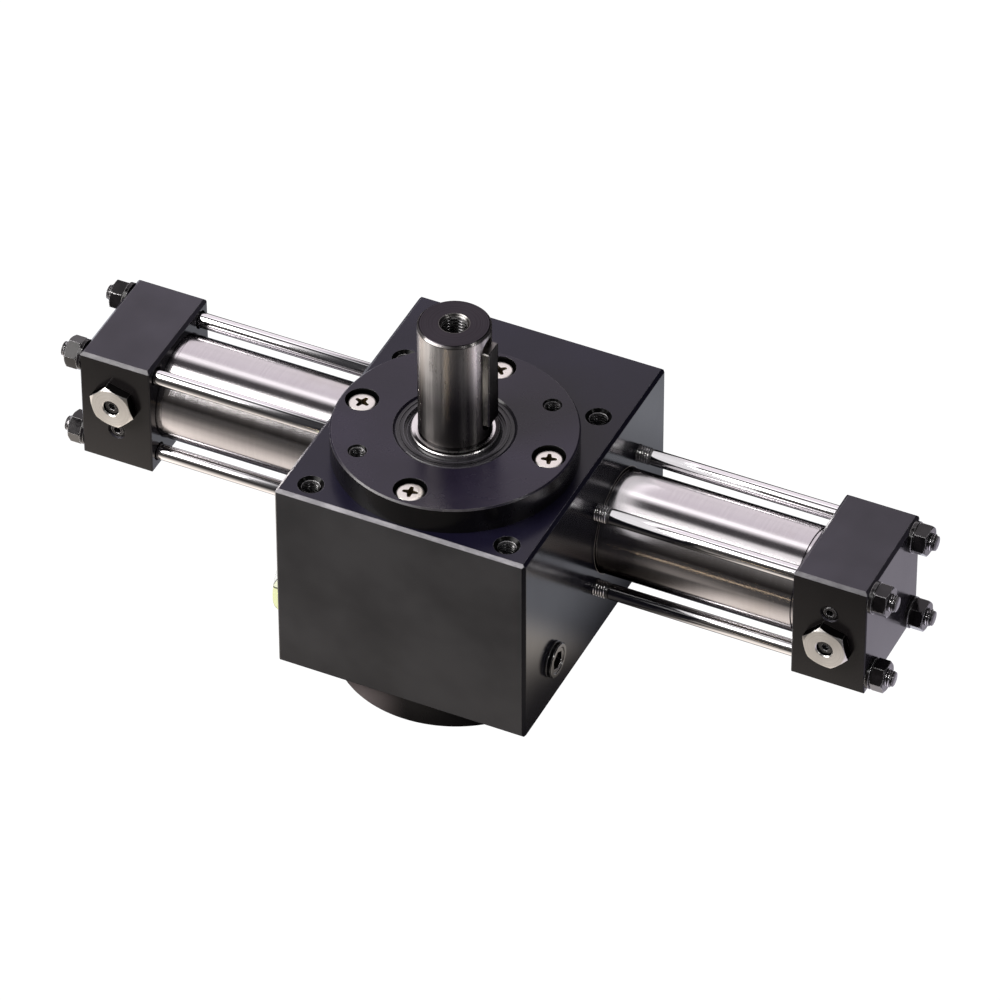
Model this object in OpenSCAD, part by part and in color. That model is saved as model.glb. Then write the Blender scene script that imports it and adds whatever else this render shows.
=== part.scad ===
// Hydraulic rotary actuator: one double-ended piston rack, lying in two
// cylinder barrels behind the housing, turns a pinion shaft through half a
// turn. Millimetres. The origin is on the output shaft's axis at the bottom
// face of the lower cover, +X along the cylinders, +Z up the output shaft.
// Rest is mid stroke, with the shaft's key on the +X side.

/* [Housing] */
// Width of the pinion housing, along the cylinders
body_w = 148; // [144:1:152]
// Housing face in front of the shaft axis
body_front = 70; // [69:1:74]
// Housing height, without the covers
body_h = 123; // [121:1:125]
// Edge chamfer of the machined blocks
edge_c = 1.8; // [0.5:0.1:2.2]
// Pitch of the four face mounting holes, both ways
mount_pitch = 116; // [114:1:118]
// Wall radius of the face mounting threads (M12)
mount_r = 5.1; // [5:0.05:5.3]

/* [Covers] */
// Diameter of the upper and lower covers
cover_d = 135; // [132:1:138]
// Width over the two flats of the lower cover
base_flats = 128; // [124:1:132]
// Thickness of the upper cover above the housing
cover_t = 16; // [15:1:18]
// Thickness of the lower cover below the housing
base_t = 17; // [16:1:19]
// Pitch circle of the cover screws and of the jacking threads
cover_pcd = 111; // [110:0.5:113]
// Diameter of the counterbores over the upper screws
cbore_d = 18.6; // [17:0.2:19]

/* [Output shaft] */
// Diameter of the keyed shaft end
shaft_d = 40; // [38:1:42]
// Length of the shaft above the upper cover
shaft_len = 73; // [70:1:80]
// Width of the key and its keyway
key_w = 12; // [10:1:14]
// Height of the key
key_h = 8; // [8:0.5:9]
// Depth of the keyway in the shaft
key_t1 = 5; // [4.5:0.1:5.5]
// Length of the square-ended key
key_l = 50; // [45:1:52]

/* [Rack and pinion] */
// Gear module
gear_m = 3; // [3:0.5:3]
// Number of pinion teeth
gear_z = 20; // [20:1:20]
// Distance from the shaft axis back to the cylinder axis
cyl_y = 49; // [49:0.5:50]
// Height of the cylinder axis
cyl_z = 79; // [78.5:0.5:79.5]
// Total backlash between the tooth flanks
backlash = 0.24; // [0.16:0.02:0.4]

/* [Cylinders] */
// Bore of both barrels
bore_d = 50; // [50:1:50]
// Outside diameter of both barrels
barrel_d = 60; // [59:0.5:61]
// Inner face of each end cap, from the middle
cap_x = 193; // [190:1:196]
// Length of an end cap
cap_l = 43; // [42:1:46]
// Side of the square end cap
cap_s = 71; // [70:1:74]
// Half of the tie rods' square pitch
rod_h = 27; // [26.5:0.1:27.2]
// Outer face of each piston at mid stroke
piston_x = 141; // [140:0.5:142]
// Length of a piston
piston_l = 28; // [28:1:28]

/* [Hidden] */
$fn = 96;
e = 0.5;                         // cutters run past a face by this much

zb = base_t;                     // housing bottom
zt = zb + body_h;                // housing top
zc = zt + cover_t;               // upper cover's top face
zs = zc + shaft_len;             // end of the shaft
az = cyl_z;                      // height of the cylinder axis
body_back = cyl_y + zt - az;     // housing's back face
fx = body_w / 2;                 // housing's side faces
cap_o = cap_x + cap_l;           // outer face of the end caps
cap_m = (cap_x + cap_o) / 2;     // middle of an end cap
cf = cyl_y - cap_s / 2;          // front face of the end caps
cb = cyl_y + cap_s / 2;          // back face of the end caps
cap_b = az - cap_s / 2 - 0.6;    // bottom face of the end caps

brg_r = 45;                      // bearings 50 x 90 x 20
brg_b = 20;
spig = 10;                       // spigot depth of both covers
z_lb = zb + spig;                // lower bearing's lower face
z_ub = zt - spig - brg_b;        // upper bearing's lower face
rp = gear_m * gear_z / 2;        // pitch radius
land_r = barrel_d / 2 - 0.7;     // barrel's end lands
rec_x = cap_x + 10;              // bottom of the barrel recess in a cap
brl_x = fx - 12;                 // inner end of a barrel in the housing

hex_dz = 7;                      // cushion cartridge off the cylinder axis
chk_dz = 13.5;                   // check plug off the cylinder axis
plug_y = -34.6; plug_z = 45.8;   // drain plug on the right face
glass_y = -46; glass_z = 58;     // sight glass on the left face
glass_r = 20; glass_h = 5.5;

function oct(a0, a1, b0, b1, c) = [[a0 + c[0], b0], [a1 - c[1], b0], [a1, b0 + c[1]],
    [a1, b1 - c[2]], [a1 - c[2], b1], [a0 + c[3], b1], [a0, b1 - c[3]], [a0, b0 + c[0]]];

// Block with all twelve edges chamfered: the upright edges, the edges along
// Y and the edges along X, each list anticlockwise from the low corner
module block(x0, x1, y0, y1, z0, z1, cz, cy, cx) {
    intersection() {
        translate([0, 0, z0]) linear_extrude(z1 - z0) polygon(oct(x0, x1, y0, y1, cz));
        translate([0, y1, 0]) rotate([90, 0, 0]) linear_extrude(y1 - y0) polygon(oct(x0, x1, z0, z1, cy));
        translate([x0, 0, 0]) rotate([90, 0, 90]) linear_extrude(x1 - x0) polygon(oct(y0, y1, z0, z1, cx));
    }
}
// Round bar along X, Y or Z between two stations
module xbar(x0, x1, y, z, r) { translate([x0, y, z]) rotate([0, 90, 0]) cylinder(h = x1 - x0, r = r); }
module ybar(y0, y1, x, z, r) { translate([x, y1, z]) rotate([90, 0, 0]) cylinder(h = y1 - y0, r = r); }
module zbar(z0, z1, x, y, r) { translate([x, y, z0]) cylinder(h = z1 - z0, r = r); }
// The same, tapering from r0 to r1
module xcone(x0, x1, y, z, r0, r1) { translate([x0, y, z]) rotate([0, 90, 0]) cylinder(h = x1 - x0, r1 = r0, r2 = r1); }
module ycone(y0, y1, x, z, r0, r1) { translate([x, y1, z]) rotate([90, 0, 0]) cylinder(h = y1 - y0, r1 = r1, r2 = r0); }
module zcone(z0, z1, x, y, r0, r1) { translate([x, y, z0]) cylinder(h = z1 - z0, r1 = r0, r2 = r1); }
// Children at the four cover screws, at the four tie rods of one side, at
// the four face mounting holes
module at_screws() { for (a = [0:90:270]) rotate([0, 0, a]) translate([cover_pcd / 2, 0, 0]) children(); }
module at_rods() { for (j = [-1, 1], k = [-1, 1]) translate([0, cyl_y + j * rod_h, az + k * rod_h]) children(); }
module at_mounts() { for (j = [-1, 1], k = [-1, 1]) translate([j * mount_pitch / 2, k * mount_pitch / 2, 0]) children(); }
// The left-hand end is the right-hand end turned half round about the
// vertical plane of the shaft: mirrored along X
module side(s) { if (s < 0) mirror([1, 0, 0]) children(); else children(); }
// O-ring
module oring(R, r) { rotate_extrude() translate([R, 0]) circle(r = r, $fn = 32); }
// Hexagon prism with its corners turned off at one end or both
module hexagon(af, h, both = false) {
    rc = af / 2 / cos(30); c = rc - af / 2 * 0.985; t = c * 0.58;
    intersection() {
        cylinder(h = h, r = rc, $fn = 6);
        rotate_extrude() polygon([[0, 0], [both ? rc - c : rc + 0.1, 0], [rc + 0.1, both ? t + 0.06 : 0.05],
            [rc + 0.1, h - t - 0.06], [rc - c, h], [0, h]]);
    }
}

module housing() {
    color([0.22, 0.21, 0.23]) difference() {
        block(-fx, fx, -body_front, body_back, zb, zt, [1, edge_c, 1, 1], [0.8, 0.8, edge_c, edge_c], [0.8, 0.8, 1, edge_c]);
        zbar(zb - e, z_lb + brg_b, 0, 0, brg_r);
        zbar(z_lb + brg_b - e, z_ub + e, 0, 0, 37);
        zbar(z_ub, zt + e, 0, 0, brg_r);
        xbar(-fx - e, fx + e, cyl_y, az, bore_d / 2);
        for (s = [-1, 1]) side(s) {
            xbar(brl_x, fx + e, cyl_y, az, land_r + 0.05);
            xcone(fx - 1.2, fx + 0.1, cyl_y, az, land_r, land_r + 1.3);
            at_rods() xbar(54, fx + e, 0, 0, 5.05);
        }
        // pocket of the rack guide shoe, behind the rack
        intersection() {
            xbar(-24.05, 24.05, cyl_y, az, 28.05);
            translate([-30, cyl_y + 12, az - 24.05]) cube([60, 30, 48.1]);
        }
        at_mounts() {
            zbar(zt - 24, zt + e, 0, 0, mount_r);
            zcone(zt - 2.2, zt + 0.01, 0, 0, mount_r, mount_r + 2.2);
        }
        at_screws() { zbar(zt - 20, zt + e, 0, 0, 4.03); zbar(zb - e, zb + 20, 0, 0, 4.03); }
        // drain port on the right, with its slanted drilling to the gear chamber
        xbar(60, fx + e, plug_y, plug_z, 8.35);
        translate([63, plug_y, plug_z]) rotate([0, 0, 50]) rotate([-77, 0, 0]) cylinder(h = 42, r = 3);
        // sight glass seat on the left, with its window and drilling
        xbar(-fx - e, -fx + 6, glass_y, glass_z, glass_r + 0.05);
        xbar(-fx + 5, -fx + 14, glass_y, glass_z, 14);
        translate([-63, glass_y + 5, glass_z - 2]) rotate([0, 0, -55]) rotate([-90, 0, 0]) cylinder(h = 46, r = 4);
    }
}

module top_cover() {
    color([0.24, 0.23, 0.26]) difference() {
        rotate_extrude() polygon([[25.2, zt - 8], [39.5, zt - 8], [39.5, zt - spig], [brg_r - 0.45, zt - spig], [brg_r - 0.05, zt - spig + 0.4],
            [brg_r - 0.05, zt - 6], [42.4, zt - 6], [42.4, zt - 3], [brg_r - 0.05, zt - 3], [brg_r - 0.05, zt],
            [cover_d / 2, zt], [cover_d / 2, zc - 0.9], [cover_d / 2 - 0.9, zc], [33.6, zc], [32.5, zc - 1.1],
            [32.5, zc - 9.5], [25.2, zc - 9.5]]);
        at_screws() {
            zbar(zc - 8, zc + e, 0, 0, cbore_d / 2);
            zbar(zt - e, zc, 0, 0, 4.5);
        }
        for (a = [45, 225]) rotate([0, 0, a]) {
            zbar(zt - e, zc + e, cover_pcd / 2, 0, 4.25);
            zcone(zc - 1.05, zc + 0.01, cover_pcd / 2, 0, 4.25, 5.3);
        }
    }
}

module pan_screw() {
    difference() {
        union() {
            rotate_extrude() polygon([[0, 0], [8, 0], [8, 4.7], [7.8, 5.5], [7.2, 6.1], [6.2, 6.3], [0, 6.3]]);
            zbar(-27, 0.1, 0, 0, 3.98);
        }
        // cross recess
        for (a = [0, 90]) rotate([0, 0, a]) translate([-3.9, -0.75, 3.2]) cube([7.8, 1.5, 4]);
        zcone(2.2, 6.4, 0, 0, 1, 2.5);
    }
}
module top_cover_screws() {
    color([0.85, 0.84, 0.83]) for (a = [0:90:270]) rotate([0, 0, a]) translate([cover_pcd / 2, 0, zc - 8])
        rotate([0, 0, a * 1.3 + 20]) pan_screw();
}

module bottom_cover() {
    color([0.2, 0.19, 0.2]) difference() {
        rotate_extrude() polygon([[0, 0], [cover_d / 2 - 0.4, 0], [cover_d / 2, 0.4], [cover_d / 2, zb], [brg_r - 0.05, zb],
            [brg_r - 0.05, zb + 3], [42.4, zb + 3], [42.4, zb + 6], [brg_r - 0.05, zb + 6],
            [brg_r - 0.05, zb + spig - 0.4], [brg_r - 0.45, zb + spig], [39.5, zb + spig], [39.5, zb + 8],
            [30, zb + 8], [30, 10], [0, 10]]);
        at_screws() { zbar(-e, 9, 0, 0, 7); zbar(0, zb + e, 0, 0, 4.5); }
        for (s = [-1, 1]) side(s) translate([base_flats / 2, -cover_d, -e]) cube([20, 2 * cover_d, zb + 2 * e]);
    }
}
module cap_screw(l) {
    difference() {
        union() {
            rotate_extrude() polygon([[0, -8], [6, -8], [6.5, -7.5], [6.5, 0], [0, 0]]);
            zbar(-0.1, l, 0, 0, 3.98);
        }
        translate([0, 0, -8.1]) cylinder(h = 4.1, r = 3.46, $fn = 6);
    }
}
module bottom_cover_screws() {
    color([0.12, 0.12, 0.13]) for (a = [0:90:270]) rotate([0, 0, a]) translate([cover_pcd / 2, 0, 9]) cap_screw(27);
}
module top_cover_oring() { color([0.06, 0.06, 0.06]) translate([0, 0, zt - 4.5]) oring(43.7, 1.22); }
module bottom_cover_oring() { color([0.06, 0.06, 0.06]) translate([0, 0, zb + 4.5]) oring(43.7, 1.22); }

// Rotary shaft seal 48 x 65 x 10: stiff case, thin web and lip
module shaft_seal() {
    color([0.16, 0.15, 0.15]) rotate_extrude() polygon([[32.45, zc - 9.4], [32.45, zc - 1.2], [31.9, zc - 0.6], [30.2, zc - 0.6],
        [30.2, zc - 1.1], [29.5, zc - 1.1], [29.5, zc - 0.6], [27.6, zc - 0.6], [27.6, zc - 2.4], [25.6, zc - 2.4],
        [24.07, zc - 1.4], [24.07, zc - 2.2], [25, zc - 3.4], [24.6, zc - 5.6], [24.07, zc - 7], [24.07, zc - 7.5],
        [24.9, zc - 8.6], [25.4, zc - 8.2], [25.3, zc - 6.4], [26, zc - 4], [29.6, zc - 4], [29.6, zc - 9.4]]);
}
module seal_garter_spring() { color([0.6, 0.6, 0.62]) translate([0, 0, zc - 7.4]) oring(26.25, 0.75); }

// Deep-groove ball bearing 50 x 90 x 20, lower face at z
module brg_ring(r0, r1, c0, c1) {
    rotate_extrude() difference() {
        polygon([[r0 + c0, 0], [r1 - c1, 0], [r1, c1], [r1, brg_b - c1], [r1 - c1, brg_b], [r0 + c0, brg_b], [r0, brg_b - c0], [r0, c0]]);
        translate([35, brg_b / 2]) circle(r = 6.45, $fn = 64);
    }
}
module brg_balls() { for (i = [0:9]) rotate([0, 0, i * 36]) translate([35, 0, brg_b / 2]) sphere(r = 6.35); }
module brg_cage() {
    difference() {
        rotate_extrude() polygon([[33.6, 2.4], [36.4, 2.4], [36.4, 17.6], [33.6, 17.6]]);
        for (i = [0:9]) rotate([0, 0, i * 36]) xbar(32, 38, 0, brg_b / 2, 6.5);
    }
}
module upper_bearing_outer_ring() { color([0.75, 0.76, 0.78]) translate([0, 0, z_ub]) brg_ring(39.4, 44.97, 0.2, 0.8); }
module lower_bearing_outer_ring() { color([0.75, 0.76, 0.78]) translate([0, 0, z_lb]) brg_ring(39.4, 44.97, 0.2, 0.8); }
module upper_bearing_inner_ring() { color([0.75, 0.76, 0.78]) translate([0, 0, z_ub]) brg_ring(25.02, 30.6, 0.8, 0.2); }
module lower_bearing_inner_ring() { color([0.75, 0.76, 0.78]) translate([0, 0, z_lb]) brg_ring(25.02, 30.6, 0.8, 0.2); }
module upper_bearing_balls() { color([0.85, 0.86, 0.88]) translate([0, 0, z_ub]) brg_balls(); }
module lower_bearing_balls() { color([0.85, 0.86, 0.88]) translate([0, 0, z_lb]) brg_balls(); }
module upper_bearing_cage() { color([0.72, 0.58, 0.3]) translate([0, 0, z_ub]) brg_cage(); }
module lower_bearing_cage() { color([0.72, 0.58, 0.3]) translate([0, 0, z_lb]) brg_cage(); }

// Bronze saddle that backs the rack against the pinion
module rack_guide_shoe() {
    color([0.72, 0.52, 0.28]) difference() {
        intersection() {
            xbar(-24, 24, cyl_y, az, 28);
            translate([-30, cyl_y + 12.1, az - 24]) cube([60, 30, 48]);
        }
        xbar(-26, 26, cyl_y, az, 24.07);
    }
}

// Honed barrel with reduced end lands and an O-ring groove near each end
module barrel(s) {
    R = barrel_d / 2;
    color([0.82, 0.81, 0.83]) side(s) translate([0, cyl_y, az]) rotate([0, 90, 0]) rotate_extrude() polygon([
        [bore_d / 2, brl_x + 0.8], [bore_d / 2 + 0.8, brl_x], [land_r - 0.8, brl_x], [land_r, brl_x + 0.8],
        [land_r, brl_x + 4], [27.2, brl_x + 4], [27.2, brl_x + 6.6], [land_r, brl_x + 6.6],
        [land_r, fx + 1.6], [R - 0.25, fx + 1.6], [R, fx + 1.9], [R, cap_x - 3.9], [R - 0.25, cap_x - 3.6], [land_r, cap_x - 3.6],
        [land_r, rec_x - 6.6], [27.2, rec_x - 6.6], [27.2, rec_x - 4], [land_r, rec_x - 4],
        [land_r, rec_x - 0.8], [land_r - 0.8, rec_x - 0.05], [bore_d / 2 + 0.8, rec_x - 0.05], [bore_d / 2, rec_x - 0.8]]);
}
module barrel_orings(s) {
    color([0.06, 0.06, 0.06]) side(s) for (x = [brl_x + 5.3, rec_x - 5.3]) translate([x, cyl_y, az]) rotate([0, 90, 0]) oring(28.25, 1);
}
module left_barrel() { barrel(-1); }
module right_barrel() { barrel(1); }
module left_barrel_orings() { barrel_orings(-1); }
module right_barrel_orings() { barrel_orings(1); }

// Square end cap: barrel recess, cushion bore, oil port at the back,
// cushion cartridge and check valve holes at the front
module end_cap(s) {
    color([0.24, 0.23, 0.24]) side(s) difference() {
        block(cap_x, cap_o, cf, cb, cap_b, az + cap_s / 2, [0.6, 0.6, 0.5, 0.5], [0.5, 0.5, edge_c, edge_c], [0.5, 0.5, 1, edge_c]);
        xbar(cap_x - e, rec_x, cyl_y, az, land_r + 0.05);
        xcone(cap_x - 0.1, cap_x + 1, cyl_y, az, land_r + 1.1, land_r);
        xbar(rec_x - e, cap_o - 12, cyl_y, az, 11.2);
        at_rods() xbar(cap_x - e, cap_o + e, 0, 0, 5.5);
        // oil port
        ybar(cb - 14, cb + e, cap_m, az, 7.5);
        ycone(cb - 1, cb + 0.01, cap_m, az, 7.5, 8.6);
        ybar(cyl_y + 6, cb - 13, cap_m, az, 4);
        // cushion cartridge
        ybar(cf - e, cf + 16, cap_m, az - s * hex_dz, 8.05);
        ybar(cf + 15, cyl_y - 4, cap_m, az - s * hex_dz, 4);
        // check valve
        ybar(cf - e, cf + 10.5, cap_m, az + s * chk_dz, 4.05);
        ybar(cf - e, cf + 1.3, cap_m, az + s * chk_dz, 5.3);
        ybar(cf + 10, cf + 25, cap_m, az + s * chk_dz, 3);
        // drillings from the barrel to the needle and to the check ball,
        // and from the check ball's seat to the cushion bore
        xbar(rec_x - e, cap_m, cf + 19, az - s * hex_dz, 1.5);
        xbar(rec_x - e, cap_m, cf + 17, az + s * chk_dz, 1.5);
        translate([cap_m, cf + 24.5, az + s * chk_dz]) rotate([-90 - s * 43, 0, 0]) cylinder(h = 11, r = 1.8);
    }
}
module left_end_cap() { end_cap(-1); }
module right_end_cap() { end_cap(1); }

// Tie rod, threaded into the housing and through the cap
module tie_rods(s) {
    color([0.8, 0.8, 0.82]) side(s) at_rods() rotate([0, 90, 0]) rotate_extrude() polygon([[0, 55], [4.2, 55], [5, 55.8],
        [5, fx + 8], [4.5, fx + 8.8], [4.5, cap_o - 9], [5, cap_o - 8], [5, cap_o + 13.2], [4.2, cap_o + 14], [0, cap_o + 14]]);
}
module left_tie_rods() { tie_rods(-1); }
module right_tie_rods() { tie_rods(1); }
// Spring washer, cut open at one side
module rod_washers(s) {
    color([0.13, 0.13, 0.14]) side(s) at_rods() translate([cap_o, 0, 0]) rotate([0, 90, 0]) difference() {
        cylinder(h = 2.2, r = 9);
        translate([0, 0, -e]) cylinder(h = 4, r = 5.15);
        rotate([0, 0, 70]) translate([0, -0.5, -e]) cube([12, 1, 4]);
    }
}
module left_rod_washers() { rod_washers(-1); }
module right_rod_washers() { rod_washers(1); }
// M10 nuts, each tightened to its own angle: front low, front high, back
// low, back high
module rod_nuts(s, turn) {
    color([0.1, 0.1, 0.11]) side(s) for (j = [0, 1], k = [0, 1])
        translate([cap_o + 2.2, cyl_y + (2 * j - 1) * rod_h, az + (2 * k - 1) * rod_h]) rotate([0, 90, 0]) rotate([0, 0, turn[2 * j + k]])
            difference() { hexagon(16, 8, true); translate([0, 0, -e]) cylinder(h = 9, r = 5.03); }
}
module left_rod_nuts() { rod_nuts(-1, [20, 13, 35, 47]); }
module right_rod_nuts() { rod_nuts(1, [28, 38, 38, 40]); }

// Hexagon cartridge that carries the cushion needle
module cushion_cartridge(s) {
    color([0.72, 0.7, 0.68]) side(s) translate([cap_m, cf, az - s * hex_dz]) rotate([90, 0, 0]) difference() {
        union() {
            rotate([0, 0, -15 * s]) hexagon(24, 6);
            translate([0, 0, -15.5]) cylinder(h = 15.6, r = 8);
        }
        translate([0, 0, -16]) cylinder(h = 30, r = 4.7);
        translate([0, 0, 5.4]) cylinder(h = 0.7, r1 = 4.7, r2 = 5.4);
    }
}
module left_cushion_cartridge() { cushion_cartridge(-1); }
module right_cushion_cartridge() { cushion_cartridge(1); }
// Needle with a hexagon socket, turned in the cartridge to set the cushion
module cushion_needle(s) {
    color([0.3, 0.29, 0.29]) side(s) translate([cap_m, cf, az - s * hex_dz]) rotate([90, 0, 0]) difference() {
        rotate_extrude() polygon([[0, -20], [1, -20], [2.6, -15], [2.6, -13], [4.62, -12], [4.62, 3.8], [4.2, 4.2], [0, 4.2]]);
        translate([0, 0, 1.2]) cylinder(h = 4, r = 2.31, $fn = 6);
    }
}
module left_cushion_needle() { cushion_needle(-1); }
module right_cushion_needle() { cushion_needle(1); }
module check_plug(s) {
    color([0.12, 0.12, 0.12]) side(s) translate([cap_m, cf, az + s * chk_dz]) rotate([90, 0, 0]) difference() {
        rotate_extrude() polygon([[0, -9], [4, -9], [4, -1], [3.6, -0.6], [0, -0.6]]);
        translate([0, 0, -4.5]) cylinder(h = 4, r = 2.31, $fn = 6);
    }
}
module left_check_plug() { check_plug(-1); }
module right_check_plug() { check_plug(1); }
module check_ball(s) { color([0.85, 0.86, 0.88]) side(s) translate([cap_m, cf + 22.1, az + s * chk_dz]) sphere(r = 2.8); }
module left_check_ball() { check_ball(-1); }
module right_check_ball() { check_ball(1); }

// Collar plug with a hexagon socket, over a sealing washer
module drain_plug() {
    color([0.1, 0.1, 0.1]) difference() {
        translate([0, plug_y, plug_z]) rotate([0, 90, 0]) rotate_extrude() polygon([[0, 61], [8.3, 61], [8.3, fx + 1],
            [10.2, fx + 1], [10.2, fx + 3.1], [9.6, fx + 3.7], [7.8, fx + 3.7], [7.2, fx + 3.1], [0, fx + 3.1]]);
        translate([fx - 4, plug_y, plug_z]) rotate([0, 90, 0]) cylinder(h = 9, r = 5.77, $fn = 6);
    }
}
module drain_plug_washer() {
    color([0.15, 0.15, 0.15]) difference() {
        xbar(fx, fx + 1, plug_y, plug_z, 10.5);
        xbar(fx - e, fx + 2, plug_y, plug_z, 8.4);
    }
}
// Clear oil level window, a hollow cap seated in the left face
module sight_glass() {
    color([0.85, 0.9, 0.8, 0.5]) translate([0, glass_y, glass_z]) rotate([0, -90, 0]) rotate_extrude() polygon([
        [glass_r - 0.05, fx - 5.9], [glass_r - 0.05, fx - 4.6], [18.4, fx - 4.6], [18.4, fx - 2.4], [glass_r - 0.05, fx - 2.4],
        [glass_r - 0.05, fx + 0.3], [glass_r, fx + 0.35], [glass_r, fx + glass_h - 1.6], [glass_r - 0.5, fx + glass_h - 0.5], [glass_r - 1.6, fx + glass_h], [0, fx + glass_h + 0.4],
        [0, fx + glass_h - 2.2], [16.4, fx + glass_h - 2.4], [17.2, fx + glass_h - 3.2], [17.2, fx - 5.9]]);
}
module sight_glass_oring() { color([0.06, 0.06, 0.06]) translate([-fx + 3.55, glass_y, glass_z]) rotate([0, 90, 0]) oring(19.22, 0.78); }

// Involute pinion outline
function inv(a) = tan(a) * 180 / PI - a;
function flank(r) = let (rb = rp * cos(20)) 90 / gear_z - backlash / 4 / rp * 180 / PI + inv(20) - (r > rb ? inv(acos(rb / r)) : 0);
function polar(r, a) = [r * cos(a), r * sin(a)];
function tooth(a) = let (rb = rp * cos(20), ra = rp + gear_m, rf = rp - 1.25 * gear_m, n = 6)
    concat([polar(rf, a - flank(rb))], [for (i = [0:n]) let (r = rb + (ra - rb) * i / n) polar(r, a - flank(r))],
        [for (i = [n:-1:0]) let (r = rb + (ra - rb) * i / n) polar(r, a + flank(r))], [polar(rf, a + flank(rb))]);

module output_shaft() {
    R = shaft_d / 2;
    color([0.72, 0.7, 0.7]) difference() {
        union() {
            rotate_extrude() polygon([[0, z_lb - 0.6], [24.2, z_lb - 0.6], [25, z_lb + 0.2], [25, z_lb + brg_b], [28.5, z_lb + brg_b],
                [28.5, az - 22], [26, az - 22], [26, az + 22], [28.5, az + 22], [28.5, z_ub], [25, z_ub], [25, z_ub + brg_b + 1], [24, z_ub + brg_b + 2], [24, zc + 0.2], [23.4, zc + 0.8], [R, zc + 0.8],
                [R, zs - 1.3], [R - 1.3, zs], [0, zs]]);
            translate([0, 0, az - 22]) linear_extrude(44) polygon([for (i = [0:gear_z - 1]) each tooth(i * 360 / gear_z)]);
        }
        // keyway with round ends
        translate([R - key_t1, -key_w / 2, zs - 60]) cube([10, key_w, key_l]);
        for (z = [zs - 60, zs - 60 + key_l]) xbar(R - key_t1, R + 2, 0, z, key_w / 2);
        // centre thread
        zbar(zs - 36, zs + e, 0, 0, 7);
        zcone(zs - 40, zs - 36 + 0.01, 0, 0, 0.2, 7);
        zcone(zs - 1.3, zs + 0.01, 0, 0, 7, 8.3);
    }
}
module shaft_key() {
    R = shaft_d / 2;
    color([0.5, 0.48, 0.47]) block(R - key_t1 + 0.03, R - key_t1 + key_h, -key_w / 2 + 0.02, key_w / 2 - 0.02, zs - 60, zs - 60 + key_l,
        [0.5, 0.5, 0.5, 0.5], [0.5, 0.5, 0.5, 0.5], [0.5, 0.5, 0.5, 0.5]);
}

// Round rack bar with a flat of straight teeth towards the pinion
module rack() {
    w = PI * gear_m / 4 + backlash / 4; t = tan(20); xi = piston_x - piston_l;
    color([0.62, 0.62, 0.64]) difference() {
        translate([0, cyl_y, az]) rotate([0, 90, 0]) rotate_extrude() polygon([[0, -xi], [23, -xi], [24, -xi + 1], [24, xi - 1], [23, xi], [0, xi]]);
        translate([-78, rp - gear_m - 10, az - 30]) cube([156, 10, 60]);
        translate([0, rp, az - 30]) linear_extrude(60) for (i = [-8:8]) translate([i * PI * gear_m, 0])
            polygon([[-w - (gear_m + 1) * t, -gear_m - 1], [w + (gear_m + 1) * t, -gear_m - 1],
                [w - 1.25 * gear_m * t, 1.25 * gear_m], [-w + 1.25 * gear_m * t, 1.25 * gear_m]]);
        for (s = [-1, 1]) side(s) xbar(xi - 26, xi + e, cyl_y, az, 7);
    }
}
// Piston: two guide ring grooves beside one seal groove
module piston(s) {
    xi = piston_x - piston_l;
    color([0.7, 0.7, 0.72]) side(s) translate([0, cyl_y, az]) rotate([0, 90, 0]) rotate_extrude() polygon([[8.05, xi], [23.9, xi], [24.7, xi + 0.8],
        [24.7, xi + 3], [22.5, xi + 3], [22.5, xi + 7], [24.7, xi + 7], [24.7, xi + 10.5], [20.5, xi + 10.5], [20.5, xi + 17], [24.7, xi + 17],
        [24.7, xi + 20.5], [22.5, xi + 20.5], [22.5, xi + 24.5], [24.7, xi + 24.5], [24.7, xi + 27.2], [23.9, xi + 28], [8.05, xi + 28]]);
}
module left_piston() { piston(-1); }
module right_piston() { piston(1); }
module piston_seal(s) {
    x = piston_x - piston_l;
    color([0.1, 0.35, 0.3]) side(s) translate([0, cyl_y, az]) rotate([0, 90, 0]) rotate_extrude() polygon([[20.55, x + 10.6], [24.2, x + 10.6],
        [24.93, x + 11.6], [24.93, x + 15.9], [24.2, x + 16.9], [20.55, x + 16.9]]);
}
module left_piston_seal() { piston_seal(-1); }
module right_piston_seal() { piston_seal(1); }
// Guide rings, each split so that it can be sprung into its groove
module piston_guide_rings(s) {
    xi = piston_x - piston_l;
    color([0.5, 0.38, 0.24]) side(s) for (x = [xi + 3.05, xi + 20.55]) difference() {
        xbar(x, x + 3.9, cyl_y, az, 24.93);
        xbar(x - 1, x + 5, cyl_y, az, 22.55);
        translate([x - 1, cyl_y - 0.6, az]) cube([6, 1.2, 30]);
    }
}
module left_piston_guide_rings() { piston_guide_rings(-1); }
module right_piston_guide_rings() { piston_guide_rings(1); }
// Cushion spear: its stud holds the piston on the rack
module cushion_spear(s) {
    xi = piston_x - piston_l;
    color([0.68, 0.68, 0.7]) side(s) difference() {
        translate([0, cyl_y, az]) rotate([0, 90, 0]) rotate_extrude() polygon([[0, xi - 24], [6.2, xi - 24], [6.95, xi - 23.2], [6.95, xi], [8, xi],
            [8, piston_x], [13.5, piston_x], [13.5, piston_x + 5], [11, piston_x + 6], [11, piston_x + 29], [9.6, piston_x + 32], [0, piston_x + 32]]);
        translate([piston_x + 24, cyl_y, az]) rotate([0, 90, 0]) cylinder(h = 9, r = 5.77, $fn = 6);
    }
}
module left_cushion_spear() { cushion_spear(-1); }
module right_cushion_spear() { cushion_spear(1); }

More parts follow.
